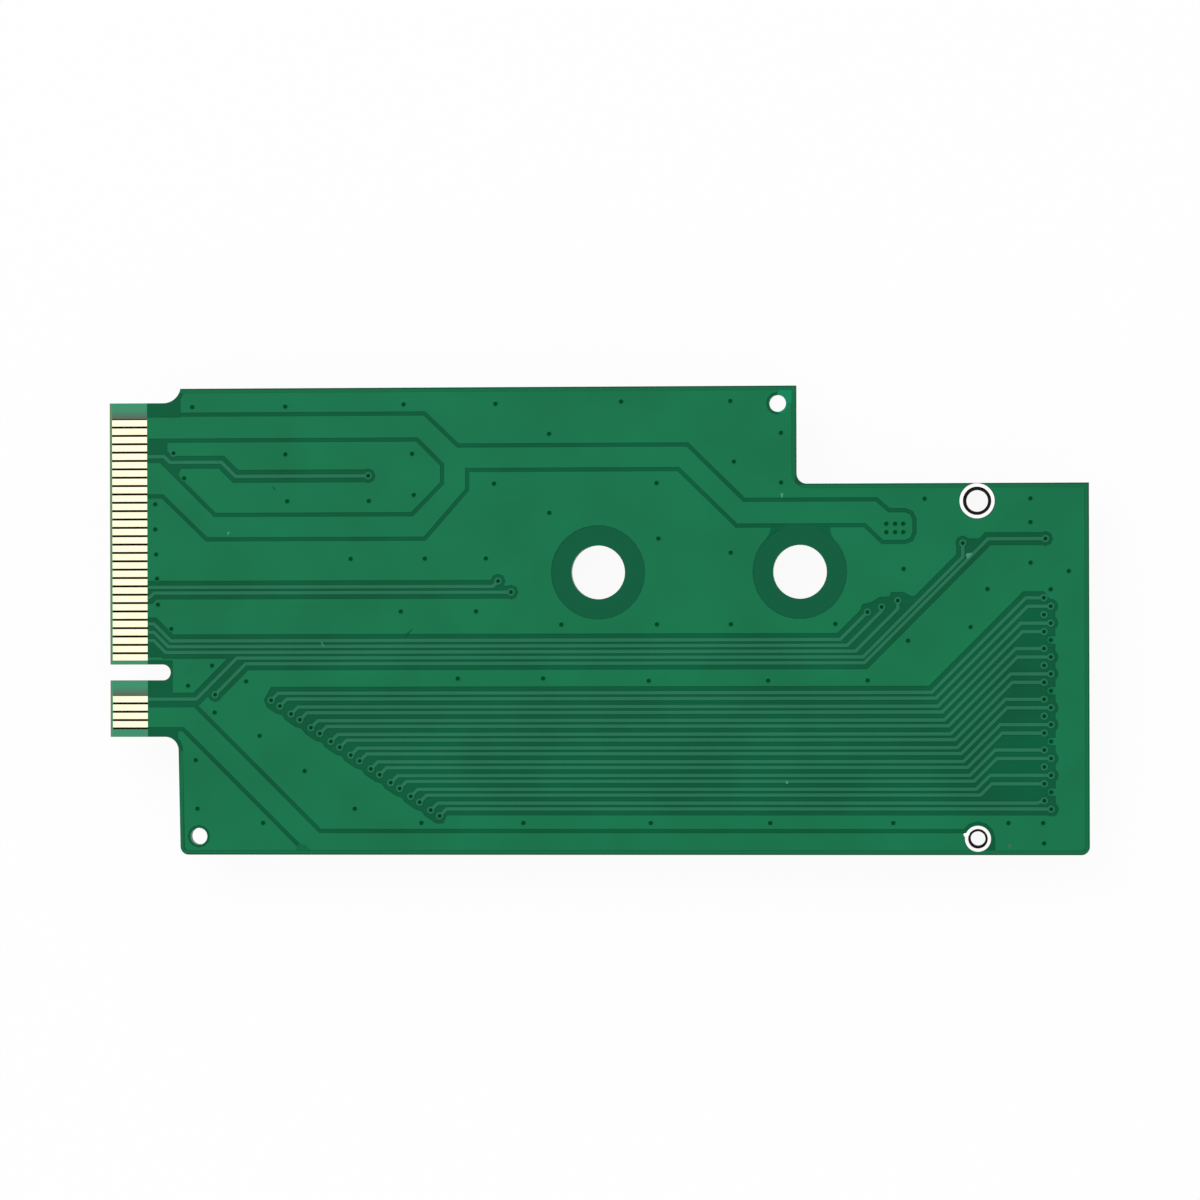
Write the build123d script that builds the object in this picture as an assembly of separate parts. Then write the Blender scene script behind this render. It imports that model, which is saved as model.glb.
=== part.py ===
from build123d import *
from math import cos, radians, sin, sqrt
import os

os.makedirs("parts", exist_ok=True)

# An M-key M.2 length adapter: a card edge and a row of screw holes on one end, and on the
# hidden face an M.2 socket that takes the longer drive folded back over the board.
# X runs from the tip of the card edge to the socket end, Y across the board and Z up, out of
# the face that carries the long tracks. The origin is at the tip of the card edge, on the
# centreline of the contact rows, at half the board's thickness. Millimetres.

# Board
board_length = 58.4
board_thickness = 0.8  # over the copper of both faces
copper_thickness = 0.035
upper_part_end_x = 41.1  # where the board steps down to the socket end
step_radius = 0.62
corner_radius = 0.5
side_start_x = 4.1  # lower shoulder beside the tongue
side_slant = 0.12  # the lower left side leans out by this much
shoulder_radius = 0.8
upper_shoulder_x = 4.3
upper_shoulder_radius = 1.05  # more than the step is high, so it meets the upper edge at a slant
upper_shoulder = 0.855  # the board's upper edge stands this far above the tongue
lower_band = 2.735  # from the last track of the pairs to the board's lower edge

# Card edge
tongue_margin = 0.725  # laminate outside the centrelines of the outermost contacts
tongue_shift = 0.22  # the tongue is routed this far above the contact centreline
tip_bevel = 0.12
contact_pitch = 0.5
contact_width = 0.37
contact_setback = 0.165  # bare laminate in front of the contacts
mask_edge_x = 2.27  # contacts end and the green lacquer starts
key_width = 0.95
key_end_x = 3.65

# Holes
screw_hole_diameter = 3.2
screw_hole_x = 29.3
screw_hole_step = 12.0
screw_ring_diameter = 5.62  # copper stays out of this ring
tooling_hole_diameter = 1.0
tooling_ring_diameter = 1.35
upper_tooling_from_end = 1.1  # from the end and top of the upper part
upper_tooling_from_top = 1.05
lower_tooling_from_side = 1.23
lower_tooling_from_bottom = 1.1

# Plated holes that take the socket's locating posts
post_from_end = 6.6  # from the socket end of the board
large_hole_diameter = 1.68
small_hole_diameter = 1.16
large_ring_diameter = 2.08
small_ring_diameter = 1.54
plating_wall = 0.03
ring_edge_margin = 0.02
ring_gap = 0.04  # copper around a grounded ring starts here

# Copper
pour_edge_gap = 0.27  # copper stays this far from the board's edge
line_gap = 0.25  # bare line between two areas of copper
smallest_island = 0.1  # square millimetres
track_width = 0.2
track_clearance = 0.285
via_pad_diameter = 0.45
via_clearance = 0.22
pair_pitch = 0.82  # from one differential pair to the next
pair_spacing = 0.345  # between the two tracks of a pair
fan_step = 0.597  # spacing of the slanted tracks, measured along X
first_pair_y = -7.16  # first track of the pairs
first_fan_from_post = 4.45  # first slanted track, from the posts, on the centreline
control_pitch = 0.345
control_bus_y = -4.02  # first track of the control bus
pair_via_x = 9.7
pair_via_step_x = 1.195
pair_via_offset = 0.53  # from a pair's first via to its second
pair_via_drop = 0.42  # the vias lie this far below their tracks
via_column_gap = 0.4
via_column_from_post = 3.93
supply_via_from_post = 4.87

# Socket
housing_height = 3.2
housing_front = -3.3  # along X, from the posts
housing_back = 2.4
housing_lift = 0.2  # the body's underside clears the solder pads by this much
slot_play = 0.15  # the slot is this much wider than a card's tongue
cheek_thickness = 0.9  # plastic at each end of the slot
post_from_housing_end = 0.95
slot_floor = 0.95
slot_height = 1.1
slot_back = 0.9
roof_front = -1.9
lip_bevel = 0.35
housing_bevel = 0.3
rib_width = 0.85
post_play = 0.03  # radial gap between a post and its plated hole
large_post_wall = 0.165
small_post_wall = 0.11
post_below_face = 0.02
boss_margin = 0.1  # the rings reach this far past the posts' bosses
bore_depth = 0.1  # the posts' bores keep their size this far into the body
bore_relief = 0.2  # and are this much wider all round beyond
groove_width = 0.32
groove_roof = 0.45  # plastic left above the upper contacts
groove_floor = 0.25  # plastic left below the lower contacts
spring_thickness = 0.15
spring_width = 0.22
upper_bump = 1.75  # height of the upper springs' contact point
lower_bump = 1.25
pad_length = 1.4
pad_overhang = 0.6  # the front pads stand this far out from the housing
pad_underlap = 0.2  # the rear pads start this far under it
pad_width = 0.3
hold_down_width = 1.5
hold_down_thickness = 0.15
hold_down_recess = 0.17  # the tabs stand this deep in the housing's ends
hold_down_height = 1.6
hold_down_foot = 0.55
hold_down_from_front = 0.45

# Capacitors beside the socket's supply pins
capacitor_length = 1.6
capacitor_width = 0.8
capacitor_height = 0.8
terminal_length = 0.3
capacitor_step_y = 1.3
solder_thickness = 0.03
solder_margin = 0.15

# Worked out from the above
laminate_half = board_thickness / 2 - copper_thickness
face_z = board_thickness / 2
tongue_width = 37 * contact_pitch + 2 * tongue_margin
tongue_top = tongue_shift + tongue_width / 2
tongue_bottom = tongue_shift - tongue_width / 2
top_edge_y = tongue_top + upper_shoulder
pair_count = 9
pairs_depth = (pair_count - 1) * pair_pitch + pair_spacing
bottom_edge_y = first_pair_y - pairs_depth - lower_band
slot_width = tongue_width + slot_play
housing_width = slot_width + 2 * cheek_thickness
post_pitch = housing_width - 2 * post_from_housing_end
key_y = -12.25 * contact_pitch
post_x = board_length - post_from_end
socket_y = bottom_edge_y + housing_width / 2 + ring_edge_margin
large_post_y = socket_y + post_pitch / 2
small_post_y = socket_y - post_pitch / 2
step_edge_y = large_post_y + large_ring_diameter / 2 + ring_edge_margin
key_cut_y = key_y + tongue_shift
screw_holes = [(screw_hole_x, 0), (screw_hole_x + screw_hole_step, 0)]
upper_tooling = (upper_part_end_x - upper_tooling_from_end, top_edge_y - upper_tooling_from_top)
lower_tooling = (side_start_x + lower_tooling_from_side, bottom_edge_y + lower_tooling_from_bottom)
back_z = -face_z  # the socket stands on this face

even_pins = [pin for pin in range(2, 75, 2) if not 59 <= pin <= 66]
odd_pins = [pin for pin in range(1, 76, 2) if not 59 <= pin <= 66]
pair_pins = [pin for pin in range(55, 4, -2) if pin % 6 != 3]
ground_pins = [pin for pin in range(57, 4, -2) if pin % 6 == 3]


def edge_y(pin):
    # Height of a pin's contact on the card edge; pin 38 would be on the centreline.
    return (38 - pin) * contact_pitch / 2


def socket_pin_y(pin):
    # The socket faces back along the board, so its pin 1 is at the bottom.
    return socket_y - edge_y(pin)


# ---------------------------------------------------------------- drawing helpers


def polygon(*points):
    return make_face(Polyline(*points, close=True))


def box_face(x1, y1, x2, y2):
    return polygon((x1, y1), (x2, y1), (x2, y2), (x1, y2))


def disc(centre, diameter):
    return Pos(*centre) * Circle(diameter / 2)


def facets(centre, diameter, sides):
    # A round edge etched in copper, drawn with flats that are too short to see.
    return Pos(*centre) * RegularPolygon(diameter / 2, sides)


def via_pad(centre):
    return facets(centre, via_pad_diameter, 6)


def via_clear(centre):
    return facets(centre, via_pad_diameter + 2 * via_clearance, 8)


def band(route, width):
    # A strip of constant width along straight runs, mitred where they meet.
    points = [Vector(*point) for point in route]
    runs = [(b - a).normalized() for a, b in zip(points, points[1:])]
    left, right = [], []
    for index, point in enumerate(points):
        before = runs[max(index - 1, 0)]
        after = runs[min(index, len(runs) - 1)]
        bisector = (before + after).normalized()
        reach = width / 2 / before.dot(bisector)
        side = Vector(-bisector.Y, bisector.X) * reach
        left.append(point + side)
        right.insert(0, point - side)
    return polygon(*left, *right)


def round_corner(face, x, y, radius):
    near = face.vertices().sort_by_distance((x, y, 0))[0]
    return fillet(near, radius)


def union(shapes):
    whole = Sketch()
    for shape in shapes:
        whole += shape
    return whole


def plate(face, z, thickness):
    return [extrude(Pos(0, 0, z) * part, thickness, dir=(0, 0, 1)) for part in face.faces()]


def front_copper(face):
    return plate(face, laminate_half, copper_thickness)


def back_copper(face):
    return plate(face, back_z, copper_thickness)


def write(node, solids):
    export_step(Compound(label=node, children=list(solids)), f"parts/{node}.step")


# ---------------------------------------------------------------- board


def board_outline():
    # The whole outline without the key slot: tongue, two shoulders and the stepped upper edge.
    side_bottom_x = side_start_x + side_slant
    above = top_edge_y + upper_shoulder_radius
    face = polygon(
        (0, tongue_bottom),
        (side_start_x, tongue_bottom),
        (side_bottom_x, bottom_edge_y),
        (board_length, bottom_edge_y),
        (board_length, step_edge_y),
        (upper_part_end_x, step_edge_y),
        (upper_part_end_x, above),
        (upper_shoulder_x, above),
        (upper_shoulder_x, tongue_top),
        (0, tongue_top),
    )
    face = round_corner(face, side_start_x, tongue_bottom, shoulder_radius)
    face = round_corner(face, upper_shoulder_x, tongue_top, upper_shoulder_radius)
    face -= box_face(0, top_edge_y, board_length, above + 1)
    face = round_corner(face, upper_part_end_x, step_edge_y, step_radius)
    face = round_corner(face, side_bottom_x, bottom_edge_y, corner_radius)
    return round_corner(face, board_length, bottom_edge_y, corner_radius)


def key_slot():
    end_radius = key_width / 2
    straight = key_end_x - end_radius
    slot = box_face(-1, key_cut_y - end_radius, straight, key_cut_y + end_radius)
    return slot + disc((straight, key_cut_y), key_width)


def laminate():
    face = board_outline() - key_slot()
    face -= [disc(hole, screw_hole_diameter) for hole in screw_holes]
    face -= [disc(hole, tooling_hole_diameter) for hole in (upper_tooling, lower_tooling)]
    face -= disc((post_x, large_post_y), large_hole_diameter + 2 * plating_wall)
    face -= disc((post_x, small_post_y), small_hole_diameter + 2 * plating_wall)
    board = extrude(Pos(0, 0, -laminate_half) * face, 2 * laminate_half, dir=(0, 0, 1))
    tip_edges = board.edges().filter_by(Axis.Y).group_by(Axis.X)[0]
    return [chamfer(tip_edges, tip_bevel)]


def edge_contacts(pins, z):
    row = []
    for pin in pins:
        y = edge_y(pin)
        pad = box_face(contact_setback, y - contact_width / 2, mask_edge_x, y + contact_width / 2)
        row += plate(pad, z, copper_thickness)
    return row


def post_plating(y, hole, ring):
    # Barrel through the board with a flat ring on each face.
    section = Polyline(
        (hole / 2, back_z),
        (ring / 2, back_z),
        (ring / 2, -laminate_half),
        (hole / 2 + plating_wall, -laminate_half),
        (hole / 2 + plating_wall, laminate_half),
        (ring / 2, laminate_half),
        (ring / 2, face_z),
        (hole / 2, face_z),
        close=True,
    )
    return [Pos(post_x, y, 0) * revolve(make_face(Plane.XZ * section), Axis.Z)]


# ---------------------------------------------------------------- routes

bus_y = [control_bus_y - index * control_pitch for index in range(5)]
pair_y = [
    first_pair_y - pair * pair_pitch - side * pair_spacing
    for pair in range(pair_count)
    for side in (0, 1)
]
pair_vias = [
    (pair_via_x + index // 2 * pair_via_step_x + index % 2 * pair_via_offset, y - pair_via_drop)
    for index, y in enumerate(pair_y)
]
left_column_x = post_x + via_column_from_post
right_column_x = left_column_x + via_column_gap


def socket_via(pin):
    # The vias behind the socket's rear row stand in two columns, turn about.
    return (left_column_x if pin % 4 == 3 else right_column_x, socket_pin_y(pin))


supply_vias = (post_x - supply_via_from_post, socket_pin_y(72))
activity_via = (15.57, 5.8)
clock_vias = ((23.33, -0.5), (24.1, -1.16))
detect_via = (6.33, -7.24)


def bus_via(slant, y, rise):
    # A via at the end of a slanted track, set this far straight up from the slant.
    return (slant + y - rise, y)


reset_slant = post_x - 4.1
request_slant = post_x - 3.33
wake_slant = post_x - 2.5
suspend_slant = post_x - 1.7
presence_slant = post_x - 1.28
reset_via = bus_via(reset_slant, -2.4, 0)
request_via = bus_via(request_slant, -2.1, 0.23)
wake_via = bus_via(wake_slant, -1.72, 0.48)
suspend_via = bus_via(suspend_slant, socket_pin_y(68), 0.82)
presence_via = (left_column_x + 0.1, socket_pin_y(69))


def bus_start(pin, track):
    # From a contact straight in, then down at 45 degrees to its place in the bus.
    turn_x = mask_edge_x + 0.38
    y = edge_y(pin)
    return [(mask_edge_x, y), (turn_x, y), (turn_x + y - bus_y[track], bus_y[track])]


def bus_end(track, slant, via):
    # Up at 45 degrees from the bus to below its via, then straight into it.
    return [(slant + bus_y[track], bus_y[track]), (via[0], via[0] - slant), via]


def control_routes():
    detect_slant = detect_via[0] - detect_via[1]
    suspend_start = 12.7
    clock_y = clock_vias[1][1] + control_pitch
    data_start_y = edge_y(44) + 0.08
    return [
        [
            (mask_edge_x, edge_y(10)),
            (3.3, edge_y(10)),
            (3.65, 6.65),
            (6.75, 6.65),
            (7.6, activity_via[1]),
            activity_via,
        ],
        [(mask_edge_x, clock_y), (clock_vias[0][0] + clock_y - clock_vias[0][1], clock_y), clock_vias[0]],
        [
            (mask_edge_x, data_start_y),
            (mask_edge_x + 0.13, data_start_y),
            (mask_edge_x + 0.13 + clock_vias[1][1] - data_start_y, clock_vias[1][1]),
            clock_vias[1],
        ],
        bus_start(50, 0) + [(reset_slant + bus_y[0], bus_y[0]), reset_via],
        bus_start(52, 1) + bus_end(1, request_slant, request_via),
        bus_start(54, 2) + bus_end(2, wake_slant, wake_via),
        [
            (mask_edge_x, edge_y(68)),
            (suspend_start + edge_y(68), edge_y(68)),
            (suspend_start + bus_y[3], bus_y[3]),
            *bus_end(3, suspend_slant, suspend_via),
        ],
        [
            detect_via,
            (detect_slant + bus_y[4], bus_y[4]),
            (presence_slant + bus_y[4], bus_y[4]),
            (presence_slant + presence_via[1], presence_via[1]),
            presence_via,
        ],
    ]


def pair_route(index):
    # Out of the left via, along the board, up the fan and into the via behind the socket.
    y = pair_y[index]
    start = pair_vias[index]
    end = socket_via(pair_pins[index])
    slant = post_x + first_fan_from_post + index * fan_step
    route = [start, (start[0] + pair_via_drop, y)]
    if end[1] - y > pair_via_drop:
        return route + [(slant + y, y), (slant + end[1], end[1]), end]
    return route + [(end[0] - via_pad_diameter, y), end]


def pair_area():
    # The bare area that holds all the pairs, cut off at 45 degrees beside the fan.
    gap = track_width / 2 + track_clearance
    via_gap = via_pad_diameter / 2 + via_clearance
    top, bottom = pair_y[0] + gap, pair_y[-1] - gap
    first, last = pair_vias[0], pair_vias[-1]
    fan_top = socket_pin_y(55) + gap
    slant = post_x + first_fan_from_post - gap * sqrt(2)
    right = right_column_x + via_gap * 0.6
    area = polygon(
        (first[0] - via_gap, first[1]),
        (first[0], top),
        (slant + top, top),
        (slant + fan_top, fan_top),
        (left_column_x, fan_top),
        (right, socket_pin_y(53)),
        (right, bottom),
        (last[0] + via_gap, bottom),
        (last[0] + via_gap / 2, last[1] - via_gap),
        (last[0] - via_gap / 2, last[1] - via_gap),
        (first[0] - via_gap / 2, first[1] - via_gap),
    )
    for pin in pair_pins:
        if socket_via(pin)[0] == right_column_x:
            area += facets(socket_via(pin), 2 * via_gap, 10)
    for pin in ground_pins:
        x, y = socket_via(pin)
        if x == right_column_x:
            area -= facets((x, y), via_pad_diameter, 8)
            area -= box_face(x, y - via_pad_diameter / 2, right + via_gap, y + via_pad_diameter / 2)
    return area


def upper_supply_line():
    # Bare line around the supply area of pins 2 to 18 and its run to the vias by the socket.
    x, y = supply_vias
    return [
        (mask_edge_x, 9.5),
        (18.95, 9.5),
        (20.95, 7.58),
        (screw_hole_x + 5.35, 7.58),
        (screw_hole_x + 8.7, 4.28),
        (x - 1.08, 4.28),
        (x - 0.33, y + 0.96),
        (x + 0.62, y + 0.96),
        (x + 1.0, y + 0.8),
        (x + 1.17, y + 0.42),
        (x + 1.17, y - 0.38),
        (x + 1.0, y - 0.76),
        (x + 0.62, y - 0.92),
        (x - 0.73, y - 0.92),
        (x - 1.78, 2.75),
        (screw_hole_x + 8.25, 2.75),
        (screw_hole_x + 4.8, 6.12),
        (21.5, 6.12),
        (21.5, 4.95),
        (18.95, 2.04),
        (5.85, 2.04),
        (3.2, 4.62),
        (mask_edge_x, 4.62),
    ]


def island_line():
    # Bare line around the grounded island inside the upper supply area.
    return [
        (mask_edge_x, 7.95),
        (18.5, 7.95),
        (20.0, 6.45),
        (20.0, 5.35),
        (18.2, 3.5),
        (6.35, 3.5),
        (3.08, 6.76),
        (mask_edge_x, 6.76),
    ]


def bus_end_area():
    # Bare board between the vias at the bus's end and the two tracks that run on.
    def beside(via, x, y):
        return (via[0] + x, via[1] + y)

    low = beside(wake_via, 0.8, 0.26)
    high = beside(suspend_via, 0, 0.27)
    reset_end = polygon(
        (reset_slant + bus_y[0], bus_y[0]),
        beside(reset_via, -0.46, 0.06),
        beside(reset_via, -0.3, 0.46),
        beside(reset_via, 0.25, 0.6),
        beside(request_via, -0.1, 0.6),
        beside(request_via, 0.5, 0.63),
        beside(wake_via, -0.41, 0.5),
        beside(wake_via, 0.35, 0.5),
        low,
        (suspend_slant + low[1], low[1]),
        (suspend_slant + bus_y[0], bus_y[0]),
    )
    suspend_end = polygon(
        high,
        (presence_slant + high[1], high[1]),
        (presence_slant + bus_y[0], bus_y[0]),
        (suspend_slant + bus_y[0], bus_y[0]),
        (suspend_via[0], suspend_via[0] - suspend_slant),
    )
    return reset_end + suspend_end


def lower_supply_lines():
    # The supply area of pins 70 to 74: down to the lower edge, along it and round the small post.
    turn = 5.12
    line_y = small_post_y + 0.45
    start_y = edge_y(68) - 0.37
    upper = [(mask_edge_x, start_y), (turn, start_y), (turn + start_y - line_y, line_y)]
    radius = small_ring_diameter / 2 + line_gap / 2
    for angle in range(150, -1, -30):
        turn = radians(angle)
        upper += [(post_x + radius * cos(turn), small_post_y + radius * sin(turn))]
    upper += [(post_x + radius, bottom_edge_y)]
    lower_y = edge_y(74) - 0.3
    lower = [(mask_edge_x, lower_y), (4.4, lower_y), (4.4 + lower_y - bottom_edge_y, bottom_edge_y)]
    return upper, lower


def pour_base(tongue_pins):
    # Copper of a whole face before it is divided: inside the outline, off the tip and the rings.
    top_pin = edge_y(tongue_pins[0]) + contact_width / 2 + 0.15
    base = offset(board_outline(), -pour_edge_gap)
    base -= box_face(-1, tongue_bottom - 1, mask_edge_x, tongue_top + 1)
    base -= box_face(0, top_pin, upper_shoulder_x, top_edge_y)
    base -= box_face(0, edge_y(68), key_end_x + 0.13, edge_y(58) - contact_width / 2)
    base -= box_face(0, bottom_edge_y, side_start_x, edge_y(74) - contact_width / 2)
    base -= box_face(*upper_tooling, upper_part_end_x, top_edge_y)
    base -= [facets(hole, screw_ring_diameter, 30) for hole in screw_holes]
    base -= [facets(hole, tooling_ring_diameter, 12) for hole in (upper_tooling, lower_tooling)]
    base -= facets((post_x, large_post_y), large_ring_diameter + 2 * ring_gap, 20)
    base -= facets((post_x, small_post_y), small_ring_diameter + 2 * ring_gap, 20)
    return base


def clear_of(routes):
    strips = [band(route, track_width + 2 * track_clearance) for route in routes]
    ends = [via_clear(route[-1]) for route in routes]
    return strips + ends


def track(route, *vias):
    return union([band(route, track_width)] + [via_pad(via) for via in vias])


def without_islands(face):
    # Scraps of copper that nothing feeds are etched away.
    return Sketch() + [part for part in face.faces() if part.area > smallest_island]


def front_faces():
    # The front copper, divided by its bare lines into ground and supply areas.
    base = pour_base(even_pins)
    lower_lines = lower_supply_lines()
    for line in (upper_supply_line(), island_line(), *lower_lines):
        base -= band(line, line_gap)
    base -= clear_of(control_routes())
    base -= via_clear(detect_via)
    base -= pair_area()
    base -= box_face(mask_edge_x, 7.0, 3.5, 7.95)
    base -= box_face(mask_edge_x, edge_y(58), key_end_x + 0.13, edge_y(54))
    base -= polygon((3.3, 6.5), (4.35, 6.3), (4.17, 5.95), (4.17, 5.7))
    base -= bus_end_area()
    supply_marks = (
        (mask_edge_x + 0.5, edge_y(3)),
        (post_x - 10, bottom_edge_y + 0.7),
        (post_x + 0.65, bottom_edge_y + 0.4),
    )
    supply, ground = [], []
    for face in without_islands(base).faces():
        is_supply = any(face.is_inside((x, y, 0)) for x, y in supply_marks)
        (supply if is_supply else ground).append(face)
    return ground, supply


def front_ground(faces):
    lone_pads = [via_pad(socket_via(pin)) for pin in ground_pins if pin % 4 == 3]
    solids = []
    for face in faces + lone_pads:
        solids += front_copper(face)
    return solids


def front_supply(faces):
    return [solid for face in faces for solid in front_copper(face)]


def front_pair_tracks():
    solids = []
    for index in range(len(pair_pins)):
        route = pair_route(index)
        solids += front_copper(track(route, route[0], route[-1]))
    return solids


def front_control_tracks():
    solids = []
    for route in control_routes():
        vias = [route[-1], detect_via] if route[0] == detect_via else [route[-1]]
        solids += front_copper(track(route, *vias))
    return solids


# ---------------------------------------------------------------- hidden face


def back_pair_route(index):
    # Straight in from the contact, round one corner and down to the left via.
    x, y = pair_vias[index]
    start_y = edge_y(pair_pins[index])
    corner = 0.8
    return [(mask_edge_x, start_y), (x - corner, start_y), (x, start_y - corner), (x, y)]


front_row_x = post_x + housing_front - pad_overhang
rear_row_x = post_x + housing_back - pad_underlap


def back_control_routes():
    row = front_row_x
    routes = []
    for via, pin in ((reset_via, 50), (request_via, 52), (wake_via, 54), (clock_vias[1], 44)):
        y = socket_pin_y(pin)
        routes.append([(row, y), (via[0] + via[1] - y, y), via])
    x, y = clock_vias[0]
    drop = 0.4
    pad_y = socket_pin_y(42)
    routes.append([(row, pad_y), (x + y - drop - pad_y, pad_y), (x, y - drop), (x, y)])
    routes.append([(row + pad_length, suspend_via[1]), suspend_via])
    routes.append([(rear_row_x + pad_length, presence_via[1]), presence_via])
    detect_y = edge_y(69)
    routes.append([(mask_edge_x, detect_y), (detect_via[0] + detect_y - detect_via[1], detect_y), detect_via])
    return routes


def supply_area():
    # From the six vias to the socket pads of pins 70 to 74 and the capacitors.
    x, y = supply_vias
    reach = contact_pitch + 0.22
    return box_face(x - 1.75, y - 1.2, x + 0.6, y + 1.2) + box_face(x, y - reach, front_row_x, y + reach)


def post_supply_area():
    # From the small post's plating up between the pad rows to pins 2 to 18.
    x1 = front_row_x + pad_length
    y1 = small_post_y + small_ring_diameter / 2 + ring_gap
    return box_face(x1, y1, x1 + 1.1, socket_pin_y(18) + 0.22)


def back_ground():
    base = pour_base(odd_pins)
    via_gap = via_pad_diameter / 2 + via_clearance
    corner = 0.8
    first, last = pair_vias[0], pair_vias[-1]
    top, bottom = edge_y(5) + via_gap * 0.8, edge_y(55) - via_gap * 0.8
    base -= polygon(
        (mask_edge_x, top),
        (last[0] - corner + 0.2, top),
        (last[0] + via_gap, edge_y(5) - corner + 0.2),
        (last[0] + via_gap, last[1] - via_gap),
        (last[0] - via_gap / 2, last[1] - via_gap),
        (first[0] - via_gap, first[1] - via_gap),
        (first[0] - via_gap, edge_y(55) - corner - 0.2),
        (first[0] - corner - 0.2, bottom),
        (mask_edge_x, bottom),
    )
    margin = 0.25
    y1, y2 = socket_pin_y(1) - margin, socket_pin_y(75) + margin
    base -= box_face(front_row_x - 0.2, y1, front_row_x + pad_length, y2)
    base -= box_face(rear_row_x - 0.2, y1, right_column_x + via_gap, y2)
    base -= hold_down_pads()
    base -= offset(supply_area(), line_gap, kind=Kind.INTERSECTION)
    base -= offset(post_supply_area(), line_gap, kind=Kind.INTERSECTION)
    base -= clear_of(back_control_routes())
    base = without_islands(base)
    for pin in ground_pins + [1, 3, 71, 73, 75]:
        y = socket_pin_y(pin)
        base += box_face(rear_row_x - 0.3, y - track_width / 2, rear_row_x, y + track_width / 2)
    return back_copper(base)


def back_supply():
    return back_copper(supply_area()) + back_copper(post_supply_area())


def back_pair_tracks():
    solids = []
    for index, pin in enumerate(pair_pins):
        route = back_pair_route(index)
        solids += back_copper(track(route, route[-1]))
        via = socket_via(pin)
        stub = (via[0] + via_pad_diameter / 2, via[1])
        solids += back_copper(band([(rear_row_x + pad_length, via[1]), stub], track_width))
    return solids


def back_control_tracks():
    return [solid for route in back_control_routes() for solid in back_copper(track(route, route[-1]))]


def socket_pads():
    solids = []
    rows = ((even_pins, front_row_x), (odd_pins, rear_row_x))
    for pins, x in rows:
        for pin in pins:
            y = socket_pin_y(pin)
            solids += back_copper(box_face(x, y - pad_width / 2, x + pad_length, y + pad_width / 2))
    for pad in hold_down_pads():
        solids += back_copper(pad)
    return solids


# ---------------------------------------------------------------- socket
# Its sections are drawn in X from the posts and in height from the hidden face, on which it
# hangs: a height h lies at Z = back_z - h.

roof = slot_floor + slot_height
upper_groove_top = housing_height - groove_roof
lower_groove_floor = housing_lift + groove_floor
upper_leg_x = housing_back - spring_thickness  # flat of the housing behind the upper legs
lower_leg_x = -2.6
half_width = housing_width / 2
half_slot = slot_width / 2
holes = (
    (large_post_y, large_hole_diameter, large_ring_diameter, large_post_wall),
    (small_post_y, small_hole_diameter, small_ring_diameter, small_post_wall),
)


def across(face, y, width):
    # A section face swept across the board to both sides of y.
    section = Plane((post_x, y, back_z), x_dir=(1, 0, 0), z_dir=(0, 1, 0)) * face
    return extrude(section, width / 2, both=True)


def block(x1, x2, low, high, y, width):
    return across(box_face(x1, low, x2, high), y, width)


def tube(y, diameter, low, high):
    height = high - low
    return Pos(post_x, y, back_z - (low + high) / 2) * Cylinder(diameter / 2, height)


def housing_section():
    front, back, low, high = housing_front, housing_back, housing_lift, housing_height
    return polygon(
        (front, low),
        (back, low),
        (back, high - housing_bevel),
        (back - housing_bevel, high),
        (roof_front, high),
        (roof_front, roof + lip_bevel),
        (roof_front + lip_bevel, roof),
        (slot_back, roof),
        (slot_back, slot_floor),
        (front + lip_bevel, slot_floor),
        (front, slot_floor - lip_bevel),
    )


def cheek_section():
    front, back, low, high = housing_front, housing_back, housing_lift, housing_height
    return polygon(
        (front, low),
        (back, low),
        (back, high - housing_bevel),
        (back - housing_bevel, high),
        (roof_front, high),
        (front, high + front - roof_front),
    )


def upper_groove(y):
    # Open along the slot, then over its back wall and down the outside of the housing.
    over = upper_groove_top - spring_thickness
    front = block(roof_front - 1, slot_back, roof - 0.1, upper_groove_top, y, groove_width)
    top = block(slot_back - 0.1, housing_back + 1, over, upper_groove_top, y, groove_width)
    down = block(upper_leg_x, housing_back + 1, 0, upper_groove_top, y, groove_width)
    return front + top + down


def lower_groove(y):
    # Along the slot's floor, with an opening for the leg at its front end.
    leg_front = lower_leg_x - spring_thickness - 0.1
    along = block(leg_front, slot_back, lower_groove_floor, slot_floor + 0.1, y, groove_width)
    return along + block(leg_front, lower_leg_x, 0, slot_floor, y, groove_width)


def socket_housing():
    body = across(housing_section(), socket_y, slot_width)
    for side in (-1, 1):
        cheek_width = half_width - half_slot
        body += across(cheek_section(), socket_y + side * (half_slot + cheek_width / 2), cheek_width)
    rib_y = socket_y - key_y
    body += block(roof_front, slot_back, slot_floor, roof, rib_y, rib_width)
    for y, hole, ring, wall in holes:
        body += tube(y, ring - 2 * boss_margin, 0, housing_lift)
        body += tube(y, hole - 2 * post_play, post_below_face - board_thickness, housing_lift)
    cuts = [upper_groove(socket_pin_y(pin)) for pin in odd_pins]
    cuts += [lower_groove(socket_pin_y(pin)) for pin in even_pins]
    for y, hole, ring, wall in holes:
        bore = hole - 2 * post_play - 2 * wall
        cuts.append(tube(y, bore, -1, housing_height + 1))
        cuts.append(tube(y, bore + 2 * bore_relief, housing_lift + bore_depth, housing_height + 1))
    for side in (-1, 1):
        wall_y = socket_y + side * (half_width + 1 - hold_down_recess)
        x1 = housing_front + hold_down_from_front
        cuts.append(block(x1, x1 + hold_down_width, 0, hold_down_height, wall_y, 2))
    return (body - cuts).solids()


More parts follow.
